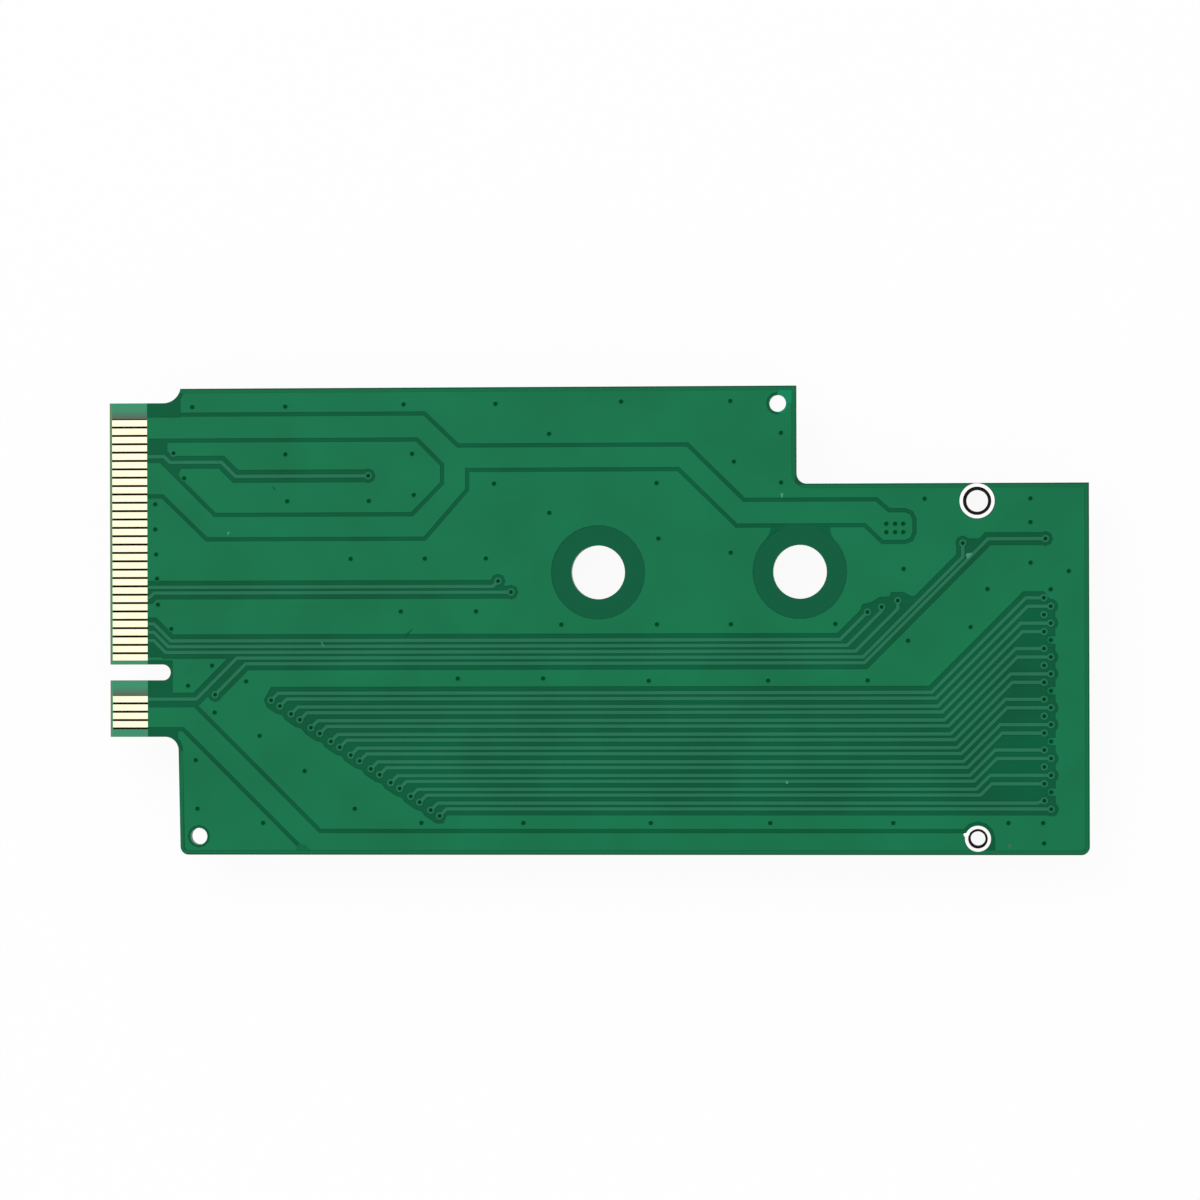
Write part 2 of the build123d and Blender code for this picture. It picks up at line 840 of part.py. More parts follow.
def upper_contacts():
    # A tail behind the housing, the leg up its back, along the roof and down to a sprung bow.
    half = spring_thickness / 2
    leg = upper_leg_x + half
    top = upper_groove_top - half
    low = upper_bump + half
    route = [
        (rear_row_x + pad_length - post_x - 0.1, half),
        (leg, half),
        (leg, top),
        (0.5, top),
        (-0.7, low),
        (-1.35, roof + 0.2),
    ]
    return [across(band(route, spring_thickness), socket_pin_y(pin), spring_width) for pin in odd_pins]


def lower_contacts():
    # A tail in front of the housing, up through its floor and along it to a sprung bow.
    half = spring_thickness / 2
    leg = lower_leg_x - half
    floor = lower_groove_floor + half
    high = lower_bump - half
    route = [
        (front_row_x - post_x + 0.1, half),
        (leg, half),
        (leg, floor),
        (-0.9, floor),
        (-0.2, high),
        (0.45, slot_floor - 0.2),
    ]
    return [across(band(route, spring_thickness), socket_pin_y(pin), spring_width) for pin in even_pins]


def hold_downs():
    # Angle strips in the housing's ends, their feet turned in under it on the board.
    tabs = []
    x = post_x + housing_front + hold_down_from_front + hold_down_width / 2
    for side in (-1, 1):
        outer = half_width - hold_down_recess
        y1, y2 = outer - hold_down_foot, outer + hold_down_thickness
        foot = (side * (y1 + y2) / 2, hold_down_thickness / 2)
        leg = (side * (outer + y2) / 2, hold_down_height / 2)
        shape = Pos(x, socket_y + foot[0], back_z - foot[1]) * Box(
            hold_down_width, y2 - y1, hold_down_thickness)
        shape += Pos(x, socket_y + leg[0], back_z - leg[1]) * Box(
            hold_down_width, hold_down_thickness, hold_down_height)
        tabs.append(shape)
    return tabs


def hold_down_pads():
    x1 = post_x + housing_front + hold_down_from_front - 0.1
    outer = half_width - hold_down_recess - 0.05
    pads = []
    for side in (-1, 1):
        y1, y2 = socket_y + side * (outer - hold_down_foot - 0.1), socket_y + side * outer
        pads.append(box_face(x1, min(y1, y2), x1 + hold_down_width + 0.2, max(y1, y2)))
    return pads


# ---------------------------------------------------------------- capacitors

supply_left = supply_vias[0] - 1.75
capacitor_x = supply_left - line_gap / 2
capacitor_y = [supply_vias[1] + side * capacitor_step_y / 2 for side in (-1, 1)]


def brick(x, y, low, length, width, height):
    return Pos(x, y, back_z - low - height / 2) * Box(length, width, height)


def capacitor_bodies():
    length = capacitor_length - 2 * terminal_length
    return [
        brick(capacitor_x, y, solder_thickness, length, capacitor_width, capacitor_height)
        for y in capacitor_y
    ]


def capacitor_terminals():
    reach = (capacitor_length - terminal_length) / 2
    size = (terminal_length, capacitor_width, capacitor_height)
    return [
        brick(capacitor_x + side * reach, y, solder_thickness, *size)
        for y in capacitor_y
        for side in (-1, 1)
    ]


def capacitor_solder():
    reach = (capacitor_length - terminal_length + solder_margin) / 2
    length = terminal_length + solder_margin
    return [
        brick(capacitor_x + side * reach, y, 0, length, capacitor_width, solder_thickness)
        for y in capacitor_y
        for side in (-1, 1)
    ]


# ---------------------------------------------------------------- nodes

ground_faces, supply_faces = front_faces()
write("laminate", laminate())
write("front_ground_copper", front_ground(ground_faces))
write("front_supply_copper", front_supply(supply_faces))
write("front_pair_tracks", front_pair_tracks())
write("front_control_tracks", front_control_tracks())
write("front_edge_contacts", edge_contacts(even_pins, laminate_half))
write("back_edge_contacts", edge_contacts(odd_pins, back_z))
write("back_ground_copper", back_ground())
write("back_supply_copper", back_supply())
write("back_pair_tracks", back_pair_tracks())
write("back_control_tracks", back_control_tracks())
write("socket_pads", socket_pads())
write("large_post_plating", post_plating(large_post_y, large_hole_diameter, large_ring_diameter))
write("small_post_plating", post_plating(small_post_y, small_hole_diameter, small_ring_diameter))
write("socket_housing", socket_housing())
write("socket_upper_contacts", upper_contacts())
write("socket_lower_contacts", lower_contacts())
write("socket_hold_downs", hold_downs())
write("capacitor_bodies", capacitor_bodies())
write("capacitor_terminals", capacitor_terminals())
write("capacitor_solder", capacitor_solder())
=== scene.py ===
import math

import bmesh
import bpy
from mathutils import Matrix, Vector


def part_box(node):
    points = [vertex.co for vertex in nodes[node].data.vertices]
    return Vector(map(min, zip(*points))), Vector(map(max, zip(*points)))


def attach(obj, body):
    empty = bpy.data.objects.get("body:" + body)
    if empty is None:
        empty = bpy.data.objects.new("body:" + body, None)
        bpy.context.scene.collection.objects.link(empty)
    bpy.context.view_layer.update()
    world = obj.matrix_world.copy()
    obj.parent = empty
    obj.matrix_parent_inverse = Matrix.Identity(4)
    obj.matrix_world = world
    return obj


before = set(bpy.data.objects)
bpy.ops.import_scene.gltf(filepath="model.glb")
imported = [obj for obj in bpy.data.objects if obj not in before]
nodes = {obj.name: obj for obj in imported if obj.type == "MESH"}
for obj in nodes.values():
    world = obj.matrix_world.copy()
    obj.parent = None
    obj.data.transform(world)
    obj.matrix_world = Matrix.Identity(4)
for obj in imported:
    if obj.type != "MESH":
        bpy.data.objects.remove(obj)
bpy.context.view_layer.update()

mm = 0.001
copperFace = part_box("front_ground_copper")[1].z / mm  # from the board's middle plane, on both sides


def srgb(red, green, blue):
    # a colour as it reads on a screen, 0 to 255, made linear
    def linear(value):
        value /= 255
        return value / 12.92 if value <= 0.04045 else ((value + 0.055) / 1.055) ** 2.4
    return (linear(red), linear(green), linear(blue), 1.0)


class Socket:
    # wraps a node's output so that an expression on it becomes Math nodes
    def __init__(self, shader, output):
        self.shader = shader
        self.output = output

    def work(self, operation, *values):
        return self.shader.node("ShaderNodeMath", {"operation": operation}, dict(enumerate(values)))

    def __add__(self, other):
        return self.work("ADD", self, other)

    def __sub__(self, other):
        return self.work("SUBTRACT", self, other)

    def __rsub__(self, other):
        return self.work("SUBTRACT", other, self)

    def __mul__(self, other):
        return self.work("MULTIPLY", self, other)

    def __gt__(self, other):
        return self.work("GREATER_THAN", self, other)

    def __lt__(self, other):
        return self.work("LESS_THAN", self, other)

    def __or__(self, other):
        return self.work("MAXIMUM", self, other)

    def __and__(self, other):
        return self.work("MINIMUM", self, other)

    def __abs__(self):
        return self.work("ABSOLUTE", self)

    __radd__ = __add__
    __rmul__ = __mul__
    __ror__ = __or__
    __rand__ = __and__


class Shader:
    # the node tree of a new material, or of a new world where the call says so
    def __init__(self, name, sockets, owners="materials", surface="BsdfPrincipled", end="OutputMaterial"):
        self.owner = getattr(bpy.data, owners).new(name)
        self.owner.use_nodes = True
        self.tree = self.owner.node_tree
        self.tree.nodes.clear()
        self.surface = self.node("ShaderNode" + surface, {}, sockets)
        self.end = self.tree.nodes.new("ShaderNode" + end)
        self.close(self.surface)

    def close(self, surface):
        self.tree.links.new(surface.output, self.end.inputs["Surface"])

    def feed(self, key, value):
        self.tree.links.new(value.output, self.surface.output.node.inputs[key])

    def node(self, kind, settings, sockets, output=0):
        made = self.tree.nodes.new(kind)
        for key, value in settings.items():
            setattr(made, key, value)
        for key, value in sockets.items():
            if isinstance(value, Socket):
                self.tree.links.new(value.output, made.inputs[key])
            else:
                made.inputs[key].default_value = value
        return Socket(self, made.outputs[output])

    def place(self):
        # Object coordinates, in metres
        return self.node("ShaderNodeTexCoord", {}, {}, "Object")

    def axes(self, place):
        # one socket for each axis, in millimetres
        parts = [self.node("ShaderNodeSeparateXYZ", {}, {0: place}, axis) for axis in "XYZ"]
        return [part * (1 / mm) for part in parts]

    def noise(self, place, scale, detail):
        return self.node("ShaderNodeTexNoise", {}, {"Vector": place, "Scale": scale, "Detail": detail})

    def blend(self, factor, first, second):
        # sockets 0, 6 and 7 and output 2 are the ones that mix colours
        return self.node("ShaderNodeMix", {"data_type": "RGBA"}, {0: factor, 6: first, 7: second}, 2)

    def ramp(self, value, low, high):
        # 0 at low and 1 at high
        return self.node("ShaderNodeMapRange", {"clamp": True}, {0: value, 1: low, 2: high, 3: 0.0, 4: 1.0})

    def bump(self, height, strength, distance):
        sockets = {"Height": height, "Strength": strength, "Distance": distance * mm}
        self.feed("Normal", self.node("ShaderNodeBump", {}, sockets))

    def seen(self):
        # 1 for what the camera sees by itself, in a gloss or through something clear
        kinds = ("Is Camera Ray", "Is Glossy Ray", "Is Transmission Ray")
        rays = [self.node("ShaderNodeLightPath", {}, {}, kind) for kind in kinds]
        return rays[0] | rays[1] | rays[2]


# Lacquer: green, in soft patches of two shades under a fine ripple
lacquer = {
    "roughness": 0.34,
    "gloss": 0.07,
    "shadeStep": 0.92,
    "patchScale": 220,
    "patchSpan": (0.35, 0.65),
    "rippleScale": 2640,
    "rippleStrength": 0.15,
    "rippleHeight": 0.004,
    "detail": 2.0,
    "overCopper": srgb(20, 117, 76),
    "overCopperShade": srgb(20, 112, 72),
    "overTrack": srgb(38, 115, 83),
    "overBoard": srgb(2, 93, 60),
    "overBoardShade": srgb(4, 85, 52),
}


def lacquerShader(name, gloss=lacquer["gloss"]):
    return Shader(name, {"Roughness": lacquer["roughness"], "Specular IOR Level": gloss})


def patched(shader, place, colour, shade):
    patches = shader.noise(place, lacquer["patchScale"], lacquer["detail"])
    ripple = shader.noise(place, lacquer["rippleScale"], lacquer["detail"])
    shader.bump(ripple, lacquer["rippleStrength"], lacquer["rippleHeight"])
    return shader.blend(shader.ramp(patches, *lacquer["patchSpan"]), colour, shade)


def lacquered(name, colour, shade=None, gloss=lacquer["gloss"]):
    if shade is None:
        shade = (*[part * lacquer["shadeStep"] for part in colour[:3]], 1.0)
    shader = lacquerShader(name, gloss)
    shader.feed("Base Color", patched(shader, shader.place(), colour, shade))
    return shader


# Laminate: lacquered glass-epoxy, with rings, edges and a bare tongue in greens of their own, and painted
# shade on the tongue above and between the contact rows
laminate = {
    "screwHoles": ((29.3, 0.0), (41.3, 0.0)),
    "screwRing": 2.83,
    "ringShade": srgb(9, 92, 60),
    "step": (41.1, 5.23),
    "openCorner": (40.0, 9.4),
    "thinLacquer": srgb(16, 132, 92),
    "shoulder": (4.12, -10.6),
    "upperShoulder": 4.1,
    "edges": ((0.27, srgb(18, 108, 68)), (0.08, srgb(12, 82, 55))),  # from the wide strip to the rim
    "maskEdge": 2.27,
    "bareTongue": srgb(62, 144, 109),
    "contactRows": ((-5.0, 9.25), (-9.3, -7.3)),
    # painted shadow above each contact row of the tongue, where the far face's contacts show through the
    # bare laminate
    "shadeReach": 0.55,
    "contactShade": srgb(92, 98, 88),
    # painted shade: near-black brown on the bare laminate between the contacts
    "shadeBetweenContacts": srgb(26, 15, 8),
    "tip": srgb(70, 148, 112),
    "cutEdge": srgb(96, 128, 84),
    "faceDepth": 0.02,
}


def paintRings(shader, colour, x, y):
    for hole in laminate["screwHoles"]:
        away = shader.node("ShaderNodeCombineXYZ", {}, {0: x - hole[0], 1: y - hole[1]})
        reach = shader.node("ShaderNodeVectorMath", {"operation": "LENGTH"}, {0: away}, "Value")
        colour = shader.blend(reach < laminate["screwRing"], colour, laminate["ringShade"])
    return colour


def paintEdges(shader, colour, x, y, low, high):
    step, shoulder, corner = laminate["step"], laminate["shoulder"], laminate["openCorner"]
    thin = (x > corner[0]) & (x < step[0]) & (y > corner[1])
    colour = shader.blend(thin, colour, laminate["thinLacquer"])
    for width, paint in laminate["edges"]:
        edge = (y > high.y - width) | (y < low.y + width) | (x > high.x - width)
        edge = edge | ((x > step[0] - width) & (y > step[1] - width))
        edge = edge | ((x < shoulder[0] + width) & (y < shoulder[1]))
        colour = shader.blend(edge & (x > laminate["upperShoulder"]), colour, paint)
    return colour


def laminateShader():
    shader = lacquerShader("glassEpoxy")
    place = shader.place()
    x, y, z = shader.axes(place)
    low, high = [Vector(corner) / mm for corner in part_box("laminate")]
    colour = patched(shader, place, lacquer["overBoard"], lacquer["overBoardShade"])
    colour = paintRings(shader, colour, x, y)
    colour = paintEdges(shader, colour, x, y, low, high)
    tongue = laminate["bareTongue"]
    # painted shadow of the far face's contacts, fading out above each contact row
    for bottom, top in laminate["contactRows"]:
        near = (y > bottom) & shader.ramp(y, top + laminate["shadeReach"], top)
        tongue = shader.blend(near, tongue, laminate["contactShade"])
    # painted shade between the contacts
    rows = [(y > bottom) & (y < top) for bottom, top in laminate["contactRows"]]
    between = rows[0] | rows[1]
    tongue = shader.blend(between, tongue, laminate["shadeBetweenContacts"])
    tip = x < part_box("front_edge_contacts")[0].x / mm
    tongue = shader.blend(tip, tongue, laminate["tip"])
    bare = x < laminate["maskEdge"]
    side = abs(z) < high.z - laminate["faceDepth"]
    colour = shader.blend(bare, colour, tongue)
    shader.feed("Base Color", shader.blend(side, colour, laminate["cutEdge"]))
    # no sheen on the painted shade between the contacts, so the gaps stay dark
    shader.feed("Metallic", between & bare & (1 - (side | tip)))
    return shader


def grained(shader, pattern, look, grain):
    # colour, roughness and bump from one pattern
    low, high = look["rough"]
    shade = shader.ramp(pattern, *grain["span"])
    shader.feed("Base Color", shader.blend(shade, look["colour"], look["dark"]))
    shader.feed("Roughness", pattern * (high - low) + low)
    shader.bump(pattern, grain["strength"], grain["height"])
    return shader


# Metals: a brushed grain in colour, gloss and height
brushed = {
    "scale": 900,
    "detail": 3.0,
    "stretch": (1, 6, 6),
    "span": (0.4, 0.75),
    "strength": 0.2,
    "height": 0.003,
}
metals = {
    "gold": {
        "colour": srgb(252, 250, 218), "dark": srgb(252, 241, 198), "metal": 0.3, "rough": (0.28, 0.42)},
    "tinned": {
        "colour": srgb(255, 255, 254), "dark": srgb(240, 240, 238), "metal": 0.35, "rough": (0.2, 0.4)},
    "springGold": {
        "colour": srgb(240, 205, 130), "dark": srgb(222, 180, 104), "metal": 1.0, "rough": (0.2, 0.35)},
    "steel": {
        "colour": srgb(222, 222, 220), "dark": srgb(196, 197, 198), "metal": 1.0, "rough": (0.25, 0.4)},
    "tin": {
        "colour": srgb(226, 228, 228), "dark": srgb(190, 194, 196), "metal": 1.0, "rough": (0.25, 0.5)},
}


def metalShader(name, look):
    shader = Shader(name, {"Metallic": look["metal"]})
    along = shader.node("ShaderNodeMapping", {}, {"Vector": shader.place(), "Scale": brushed["stretch"]})
    return grained(shader, shader.noise(along, brushed["scale"], brushed["detail"]), look, brushed)


# Moulded plastic and fired ceramic: a fine matt grain
pitted = {"scale": 2600, "detail": 3.0, "span": (0.4, 0.7), "strength": 0.3, "height": 0.006}
moulded = {
    "housingPlastic": {
        "colour": srgb(8, 8, 9), "dark": srgb(13, 13, 14), "rough": (0.5, 0.65), "gloss": 0.1},
    "ceramic": {
        "colour": srgb(158, 128, 98), "dark": srgb(134, 106, 80), "rough": (0.45, 0.6), "gloss": 0.4},
}


def mouldedShader(name, look):
    shader = Shader(name, {"Specular IOR Level": look["gloss"]})
    return grained(shader, shader.noise(shader.place(), pitted["scale"], pitted["detail"]), look, pitted)


print("materials")
overCopper = lacquered("greenOverCopper", lacquer["overCopper"], lacquer["overCopperShade"])
overTrack = lacquered("greenOverTracks", lacquer["overTrack"])
finish = {name: metalShader(name, look) for name, look in metals.items()}
finish |= {name: mouldedShader(name, look) for name, look in moulded.items()}
dress = {
    "laminate": laminateShader(),
    "front_ground_copper": overCopper,
    "front_supply_copper": overCopper,
    "back_ground_copper": overCopper,
    "back_supply_copper": overCopper,
    "front_pair_tracks": overTrack,
    "front_control_tracks": overTrack,
    "back_pair_tracks": overTrack,
    "back_control_tracks": overTrack,
    "front_edge_contacts": finish["gold"],
    "back_edge_contacts": finish["gold"],
    "socket_pads": finish["tinned"],
    "large_post_plating": finish["tinned"],
    "small_post_plating": finish["tinned"],
    "socket_housing": finish["housingPlastic"],
    "socket_upper_contacts": finish["springGold"],
    "socket_lower_contacts": finish["springGold"],
    "socket_hold_downs": finish["steel"],
    "capacitor_bodies": finish["ceramic"],
    "capacitor_terminals": finish["tin"],
    "capacitor_solder": finish["tin"],
}
for name, shader in dress.items():
    nodes[name].data.materials.clear()
    nodes[name].data.materials.append(shader.owner)


def lift(bm, faces, height):
    # makes flat faces into low closed solids and gives back their tops
    made = bmesh.ops.extrude_face_region(bm, geom=faces)["geom"]
    verts = [item for item in made if isinstance(item, bmesh.types.BMVert)]
    bmesh.ops.translate(bm, verts=verts, vec=(0, 0, height * mm))
    return [item for item in made if isinstance(item, bmesh.types.BMFace)]


def finishPiece(name, bm, shaders):
    mesh = bpy.data.meshes.new(name)
    bm.to_mesh(mesh)
    bm.free()
    for shader in shaders:
        mesh.materials.append(shader.owner)
    piece = bpy.data.objects.new(name, mesh)
    bpy.context.scene.collection.objects.link(piece)
    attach(piece, "root")


# Vias: small plated holes that lacquer has closed over, each a low ring with a dished middle; the middle is
# dark green, partly the lacquer over the empty hole and partly painted shade of the hole
closedVia = {
    "sides": 12,
    "sunk": 0.01,
    "rise": 0.008,
    "brim": 0.6,  # share of the flat ring before it falls away
    "dish": 0.7,  # share of the rise that the middle drops
    "touch": 0.01,
}

# the vias at the left ends of the track pairs
pairVias = {
    "pairs": 9,
    "firstTrack": -7.16,
    "pitch": 0.82,
    "spacing": 0.345,
    "first": 9.7,
    "step": 1.195,
    "offset": 0.53,
    "drop": 0.42,
}

# the two columns of vias behind the socket
socketVias = {
    "pins": range(57, 4, -2),
    "groundStep": 6,
    "leftStep": 4,
    "firstPin": 3,  # of the grounds and of the left column alike
    "left": 55.73,
    "right": 56.13,
    "middlePin": 38,
    "middle": -5.83,
    "pitch": 0.25,
}

# vias that hold a track's end
signalVias = {
    "radius": 0.225,
    "slope": 0.025,
    "hole": 0.12,
    "ring": srgb(36, 115, 81),
    # dark middle: partly the lacquer over the hole, partly painted shade of the hole
    "floor": srgb(0, 62, 35),
    "controls": (
        (15.57, 5.8), (23.33, -0.5), (24.1, -1.16), (6.33, -7.24), (45.3, -2.4),
        (46.14, -2.1), (47.1, -1.72), (50.95, 1.67), (55.83, 1.92), (3.87, 7.2),
    ),
}

# vias that stitch the copper of the two faces together, each row at its height
stitchingVias = {
    "radius": 0.2,
    "slope": 0.03,
    "hole": 0.13,
    "ring": srgb(22, 112, 74),
    # dark middle: partly the lacquer over the hole, partly painted shade of the hole
    "floor": srgb(0, 72, 37),
    "rows": {
        10.15: (30.7, 37.2),
        10.05: (17.7, 23.2),
        9.95: (5.0, 10.6),
        8.25: (26.4, 40.2),
        7.1: (10.6, 18.2),
        6.55: (37.4,),
        5.7: (4.5,),
        5.3: (23.1, 32.8, 40.2),
        4.65: (18.3,),
        4.3: (10.7, 15.6, 48.7, 54.95),
        4.15: (2.75,),
        3.55: (26.4,),
        2.9: (54.95,),
        2.65: (2.75,),
        2.0: (32.9,),
        1.15: (2.8, 37.2),
        0.85: (14.5, 18.95, 22.6),
        0.5: (54.95,),
        0.15: (47.45,),
        0.0: (57.2,),
        -0.3: (2.85,),
        -1.05: (52.4,),
        -1.85: (2.9,),
        -2.3: (17.5, 22.0),
        -3.1: (27.1, 32.8, 37.2, 43.4),
        -3.3: (3.7, 51.4),
        -4.1: (47.7,),
        -5.5: (6.15,),
        -6.3: (20.9, 26.0),
        -6.45: (8.2, 32.3, 39.4, 45.3),
        -6.7: (4.7,),
        -8.3: (6.3,),
        -9.7: (9.0,),
        -11.15: (5.15,),
        -11.8: (11.7,),
        -14.05: (5.25, 14.7),
        -14.9: (9.2, 18.7, 24.8, 32.4, 39.5, 46.8, 53.6, 55.65),
        -16.1: (55.7,),
    },
    "supplyColumns": (46.43, 46.95, 47.43),
    "supplyRows": (2.33, 2.83),
}


def pairSpots():
    spots = []
    for pair in range(pairVias["pairs"]):
        for second in range(2):
            track = pairVias["firstTrack"] - pair * pairVias["pitch"] - second * pairVias["spacing"]
            along = pairVias["first"] + pair * pairVias["step"] + second * pairVias["offset"]
            spots.append((along, track - pairVias["drop"]))
    return spots


def inLeftColumn(pin):
    return pin % socketVias["leftStep"] == socketVias["firstPin"]


def stitched(pin):
    # a ground pin of the right column, whose via stands in the copper itself
    return pin % socketVias["groundStep"] == socketVias["firstPin"] and not inLeftColumn(pin)


def socketSpot(pin):
    column = socketVias["left"] if inLeftColumn(pin) else socketVias["right"]
    return (column, socketVias["middle"] - (socketVias["middlePin"] - pin) * socketVias["pitch"])


def signalSpots():
    spots = [*signalVias["controls"], *pairSpots()]
    return spots + [socketSpot(pin) for pin in socketVias["pins"] if not stitched(pin)]


def stitchingSpots():
    spots = [(x, y) for y, row in stitchingVias["rows"].items() for x in row]
    spots += [(x, y) for x in stitchingVias["supplyColumns"] for y in stitchingVias["supplyRows"]]
    return spots + [socketSpot(pin) for pin in socketVias["pins"] if stitched(pin)]


def onCopper(names, x, y, z, reach):
    # the middle and four points round it all lie on the same one of these nodes
    def touches(name, spot):
        nearest = nodes[name].closest_point_on_mesh(spot)[1]
        return (nearest - spot).length < closedVia["touch"] * mm
    steps = ((0, 0), (reach, 0), (-reach, 0), (0, reach), (0, -reach))
    spots = [Vector(((x + along) * mm, (y + across) * mm, z * mm)) for along, across in steps]
    return any(all(touches(name, spot) for spot in spots) for name in names)


def addVia(bm, x, y, up, look):
    # up is 1 on the front and -1 on the back
    place = Matrix.Translation((x * mm, y * mm, up * (copperFace - closedVia["sunk"]) * mm))
    if up < 0:
        place @= Matrix.Rotation(math.pi, 4, "X")
    disc = bmesh.ops.create_circle(
        bm, cap_ends=True, segments=closedVia["sides"], radius=look["radius"] * mm, matrix=place)
    top = lift(bm, [disc["verts"][0].link_faces[0]], up * closedVia["sunk"])
    flat = (look["radius"] - look["slope"] - look["hole"]) * mm
    rise = closedVia["rise"] * mm
    bmesh.ops.inset_individual(bm, faces=top, thickness=look["slope"] * mm, depth=rise)
    bmesh.ops.inset_individual(bm, faces=top, thickness=flat * closedVia["brim"])
    bmesh.ops.inset_individual(
        bm, faces=top, thickness=flat * (1 - closedVia["brim"]), depth=-rise * closedVia["dish"])
    for middle in top:
        middle.material_index = 1


def makeVias(name, look, spots, layers):
    bm = bmesh.new()
    for up, names in layers:
        for x, y in spots:
            if onCopper(names, x, y, up * copperFace, look["hole"]):
                addVia(bm, x, y, up, look)
    bmesh.ops.recalc_face_normals(bm, faces=bm.faces)
    ring = lacquered(name + "Ring", look["ring"])
    # the dished middles, partly painted shade of the hole
    floor = lacquered(name + "Floor", look["floor"], gloss=0)
    finishPiece(name, bm, (ring, floor))


# on each face the ground and supply copper first, then the tracks
print("vias")
fronts = ("front_ground_copper", "front_supply_copper", "front_pair_tracks", "front_control_tracks")
backs = ("back_ground_copper", "back_supply_copper", "back_pair_tracks", "back_control_tracks")
makeVias("stitchingVias", stitchingVias, stitchingSpots(), ((1, fronts[:2]), (-1, backs[:2])))
makeVias("signalVias", signalVias, signalSpots(), ((1, fronts), (-1, backs[2:])))

# Marks: flattened drops with a wavering outline
drop = {"segments": 14, "rings": 6, "waves": 3, "unevenness": 0.22}


def makeMarks(name, blobs, shader):
    bm = bmesh.new()
    for blob in blobs:
        verts = bmesh.ops.create_uvsphere(
            bm, u_segments=drop["segments"], v_segments=drop["rings"], radius=1.0)["verts"]
        for vert in verts:
            angle = drop["waves"] * math.atan2(vert.co.y, vert.co.x)
            wave = 1 + drop["unevenness"] * math.sin(angle + blob["turn"])
            vert.co.x *= wave
            vert.co.y *= wave
        place = Matrix.Translation((blob["place"][0] * mm, blob["place"][1] * mm, copperFace * mm))
        turn = Matrix.Rotation(math.radians(blob["turn"]), 4, "Z")
        size = Matrix.Diagonal((*[value * mm for value in blob["size"]], 1))
        bmesh.ops.transform(bm, verts=verts, matrix=place @ turn @ size)
    finishPiece(name, bm, (shader,))


# light specks set in the lacquer
flecks = {
    "colour": srgb(96, 160, 128),
    "shade": srgb(60, 134, 100),
    "blobs": (
        {"place": (7.15, 2.4), "size": (0.1, 0.06, 0.006), "turn": 60},
        {"place": (51.3, 0.95), "size": (0.2, 0.13, 0.007), "turn": 40},
        {"place": (40.25, 4.55), "size": (0.07, 0.14, 0.006), "turn": 0},
        {"place": (40.5, -12.5), "size": (0.09, 0.07, 0.006), "turn": 120},
        {"place": (12.8, -4.23), "size": (0.2, 0.04, 0.006), "turn": 122},
    ),
}

# dark fibres set in it
fibres = {
    "colour": srgb(6, 88, 58),
    "blobs": (
        {"place": (17.95, -3.57), "size": (0.33, 0.06, 0.005), "turn": 40},
        {"place": (9.91, 5.07), "size": (0.15, 0.05, 0.005), "turn": 130},
    ),
}

# a brown speck near the lower edge
dust = {
    "colour": srgb(68, 110, 82),
    "blobs": ({"place": (53.68, -16.25), "size": (0.08, 0.13, 0.006), "turn": 0},),
}

# solder that ran out beside the small ring
solderRun = {"blobs": ({"place": (51.12, -15.62), "size": (0.17, 0.14, 0.009), "turn": 20},)}

print("marks")
fleck = lacquered("fleck", flecks["colour"], flecks["shade"])
makeMarks("flecks", flecks["blobs"], fleck)
makeMarks("fibres", fibres["blobs"], lacquered("fibre", fibres["colour"]))
makeMarks("dust", dust["blobs"], lacquered("dust", dust["colour"]))
makeMarks("solderRun", solderRun["blobs"], finish["tinned"])

# Sheets: thin closed patches that change the outline of the copper
sheet = {"sunk": 0.01, "rise": 0.002}


def addSheet(bm, outline, paint=0):
    bottom = (copperFace - sheet["sunk"]) * mm
    flat = bm.faces.new([bm.verts.new((x * mm, y * mm, bottom)) for x, y in outline])
    flat.material_index = paint
    lift(bm, [flat], sheet["sunk"] + sheet["rise"])


# two rounded corners beside the inner screw ring and the flared end of a lower bare line
clearings = {
    "paints": {"cleared": lacquer["overBoard"], "flare": srgb(14, 104, 64)},
    "leftCorner": (
        (40.3, 2.67), (39.62, 2.67), (39.52, 2.46), (39.46, 2.22), (39.3, 1.98), (39.7, 2.3), (40.1, 2.53),
    ),
    "rightCorner": (
        (42.3, 2.67), (42.5, 2.53), (42.9, 2.3), (43.3, 1.98), (43.17, 2.2), (43.12, 2.42), (43.1, 2.67),
    ),
    "flaredEnd": ((11.3, -16.1), (11.17, -16.53), (12.05, -16.53), (11.72, -16.2)),
}


def makeClearings():
    bm = bmesh.new()
    addSheet(bm, clearings["leftCorner"])
    addSheet(bm, clearings["rightCorner"])
    addSheet(bm, clearings["flaredEnd"], paint=1)
    bmesh.ops.recalc_face_normals(bm, faces=bm.faces)
    paints = [lacquered(name, colour) for name, colour in clearings["paints"].items()]
    finishPiece("clearings", bm, paints)


# copper that reaches in between the left vias of the pairs
teeth = {
    "edge": 0.493,  # from the line through the vias out to the edge of the copper
    "lap": 0.04,
    "depth": 0.12,
    "before": 0.4,
    "after": 0.31,
}


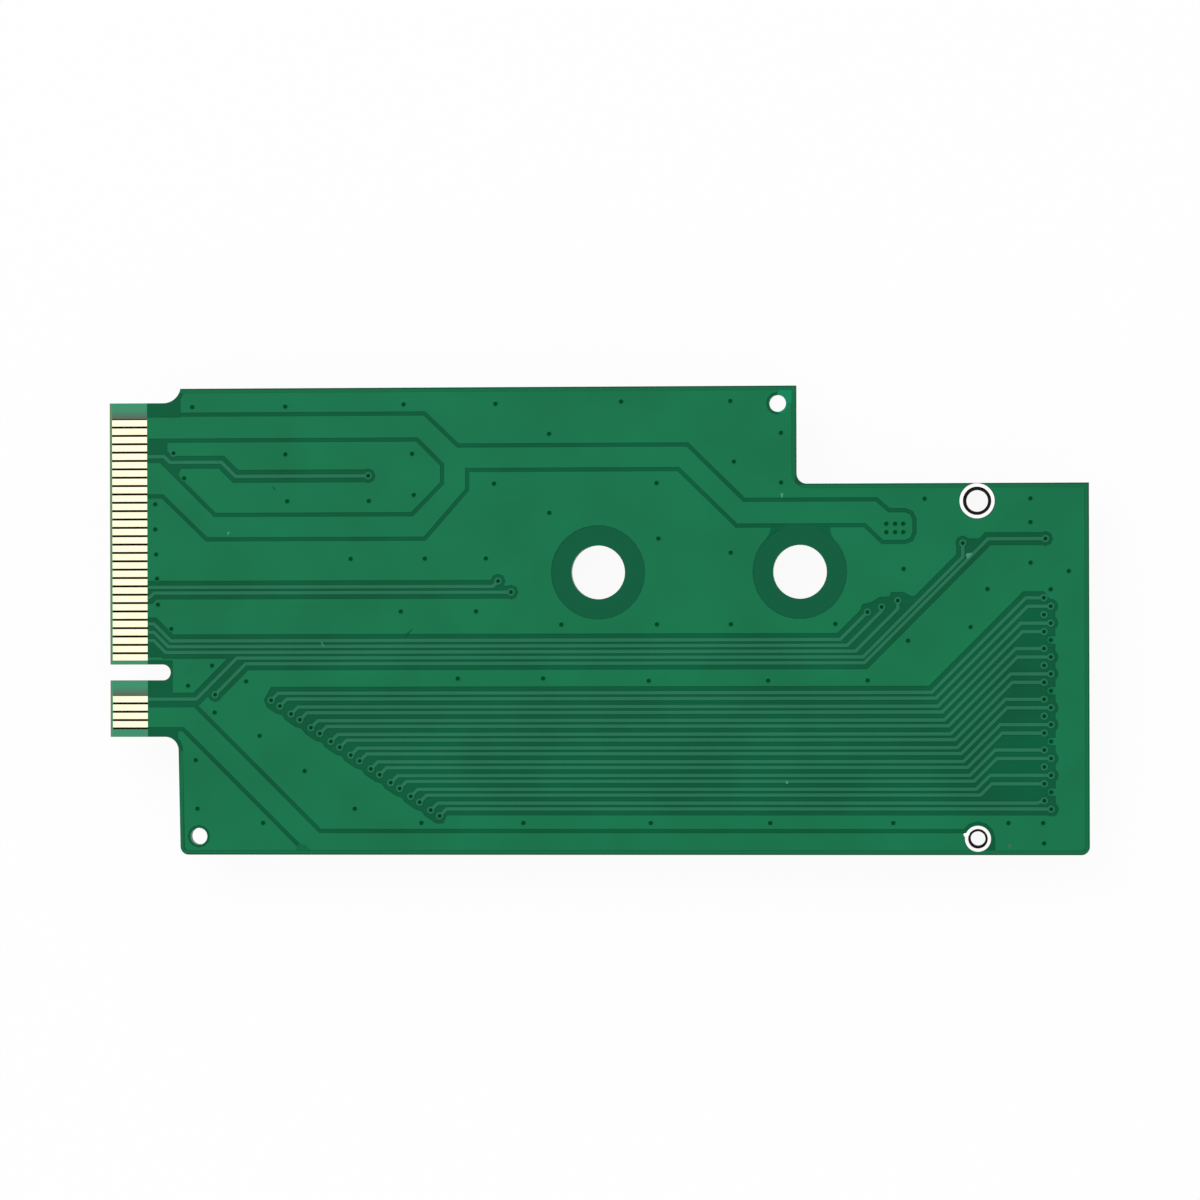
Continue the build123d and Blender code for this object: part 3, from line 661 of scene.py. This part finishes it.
def makeTeeth():
    bm = bmesh.new()
    spots = [Vector(spot) for spot in pairSpots()]
    along = (spots[-1] - spots[0]).normalized()
    out = Vector((along.y, -along.x))
    before, after, lap = along * teeth["before"], along * teeth["after"], out * teeth["lap"]
    for last, first in zip(spots[1::2], spots[2::2]):
        base = (last + first) / 2 + out * teeth["edge"]
        tip = base - out * teeth["depth"]
        addSheet(bm, (base - before + lap, base - before, tip, base + after, base + after + lap))
    bmesh.ops.recalc_face_normals(bm, faces=bm.faces)
    finishPiece("teeth", bm, (overCopper,))


print("clearings")
makeClearings()
makeTeeth()

# Floor: pale, plain white where it is seen, with the board's shadow left on it
ground = {
    "height": -3.6,
    "size": 3.0,
    "colour": (0.9, 0.9, 0.9, 1),
    "roughness": 0.9,
    "glow": (1, 1, 1, 1),
    "shadow": 0.06,
}


def makeFloor():
    mesh = bpy.data.meshes.new("floor")
    bm = bmesh.new()
    bmesh.ops.create_grid(bm, x_segments=1, y_segments=1, size=ground["size"])
    bmesh.ops.translate(bm, verts=bm.verts, vec=(0, 0, ground["height"] * mm))
    bm.to_mesh(mesh)
    bm.free()
    shader = Shader("paleFloor", {"Base Color": ground["colour"], "Roughness": ground["roughness"]})
    glow = shader.node("ShaderNodeEmission", {}, {"Color": ground["glow"], "Strength": 1.0})
    factor = shader.seen() * (1 - ground["shadow"])
    shader.close(shader.node("ShaderNodeMixShader", {}, {0: factor, 1: shader.surface, 2: glow}))
    mesh.materials.append(shader.owner)
    floor = bpy.data.objects.new("floor", mesh)
    bpy.context.scene.collection.objects.link(floor)


# World: an even sky, white where it is seen
sky = {"colour": (1, 1, 1, 1), "strength": 0.72}


def makeSky():
    shader = Shader("softSky", {"Color": sky["colour"]}, "worlds", "Background", "OutputWorld")
    shader.feed("Strength", shader.seen() * (1 - sky["strength"]) + sky["strength"])
    bpy.context.scene.world = shader.owner


# Lamp: one large soft one, high at the upper left
lamp = {"power": 4.2, "size": 0.6, "place": (-0.35, 0.45, 0.9), "aim": (0.03, 0, 0)}


def makeLamp():
    data = bpy.data.lights.new("softLamp", "AREA")
    data.energy = lamp["power"]
    data.size = lamp["size"]
    light = bpy.data.objects.new("softLamp", data)
    light.location = lamp["place"]
    aim = Vector(lamp["aim"]) - light.location
    light.rotation_euler = aim.to_track_quat("-Z", "Y").to_euler()
    bpy.context.scene.collection.objects.link(light)


# Camera: far off and almost straight over the front
view = {
    "lens": 176.4,
    "place": (0.055874, -0.000947, 0.348994),
    "turn": (-0.126, 4.341, -0.162),
    "near": 0.01,
}


def makeCamera():
    data = bpy.data.cameras.new("camera")
    data.lens = view["lens"]
    data.clip_start = view["near"]
    camera = bpy.data.objects.new("camera", data)
    camera.location = view["place"]
    camera.rotation_euler = [math.radians(angle) for angle in view["turn"]]
    bpy.context.scene.collection.objects.link(camera)
    bpy.context.scene.camera = camera


print("studio")
makeFloor()
makeSky()
makeLamp()
makeCamera()
bpy.context.scene.view_settings.view_transform = "Standard"
